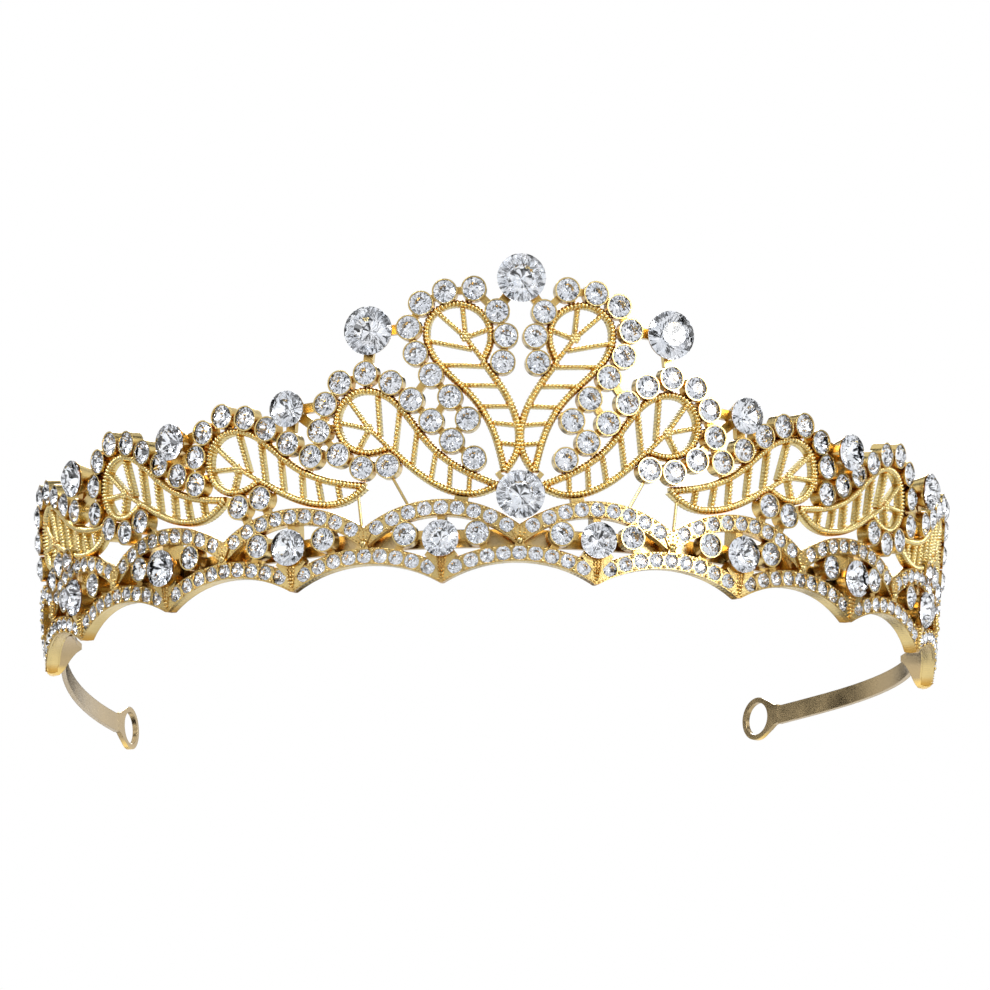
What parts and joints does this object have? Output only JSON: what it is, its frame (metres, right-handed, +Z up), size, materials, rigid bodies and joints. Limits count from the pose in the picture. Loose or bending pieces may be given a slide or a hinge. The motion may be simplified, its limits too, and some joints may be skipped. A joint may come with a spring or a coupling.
{
  "type": "bridal tiara",
  "caption": "Half-round gold bridal tiara: scalloped stone-set band, openwork paisley leaves with stone rings, crest stones, and a flat head strip ending in loops.",
  "frame": {"origin": "centre of the band's base circle, on the plane the lowest cusps, tips and loops stand on", "axes": "+Z up, the decorated front faces -Y, +X to the right of a viewer who faces the front"},
  "size_m": [0.1508, 0.1394, 0.0536],
  "materials": {
    "leaf_gold": "cast openwork, gold plated, grained edges",
    "setting_gold": "polished gold plate over cast alloy",
    "matte_gold": "matte gold plate",
    "clear_stone": "faceted, foiled back"
  },
  "bodies": {
    "root": {"arch_end_left": "setting_gold", "arch_end_right": "setting_gold", "arch_knots": "setting_gold", "arch_rail_1_left": "setting_gold", "arch_rail_1_right": "setting_gold", "arch_rail_2_left": "setting_gold", "arch_rail_2_right": "setting_gold", "arch_rail_3_left": "setting_gold", "arch_rail_3_right": "setting_gold", "arch_rail_4_left": "setting_gold", "arch_rail_4_right": "setting_gold", "cell_centre_stones": "clear_stone", "cell_setting_1_left": "setting_gold", "cell_setting_1_right": "setting_gold", "cell_setting_2_left": "setting_gold", "cell_setting_2_right": "setting_gold", "cell_setting_3_left": "setting_gold", "cell_setting_3_right": "setting_gold", "cell_setting_4_left": "setting_gold", "cell_setting_4_right": "setting_gold", "cell_side_stones": "clear_stone", "crest_cup_low": "setting_gold", "crest_cup_top": "setting_gold", "crest_cups_left": "setting_gold", "crest_cups_right": "setting_gold", "crest_stones_large": "clear_stone", "crest_stones_small": "clear_stone", "cup_ring_1_left": "setting_gold", "cup_ring_1_right": "setting_gold", "cup_ring_2_left": "setting_gold", "cup_ring_2_right": "setting_gold", "cup_ring_3_left": "setting_gold", "cup_ring_3_right": "setting_gold", "cup_ring_4_left": "setting_gold", "cup_ring_4_right": "setting_gold", "cup_ring_5_left": "setting_gold", "cup_ring_5_right": "setting_gold", "end_loop_left": "matte_gold", "end_loop_right": "matte_gold", "end_plate_left": "matte_gold", "end_plate_right": "matte_gold", "headband_strip": "matte_gold", "leaf_1_left": "leaf_gold", "leaf_1_right": "leaf_gold", "leaf_2_left": "leaf_gold", "leaf_2_right": "leaf_gold", "leaf_3_left": "leaf_gold", "leaf_3_right": "leaf_gold", "leaf_4_left": "leaf_gold", "leaf_4_right": "leaf_gold", "leaf_5_left": "leaf_gold", "leaf_5_right": "leaf_gold", "lower_rail": "setting_gold", "pave_stones_arches": "clear_stone", "pave_stones_lower": "clear_stone", "ring_stones_left": "clear_stone", "ring_stones_right": "clear_stone", "supports_left": "setting_gold", "supports_right": "setting_gold"}
  },
  "joints": []
}
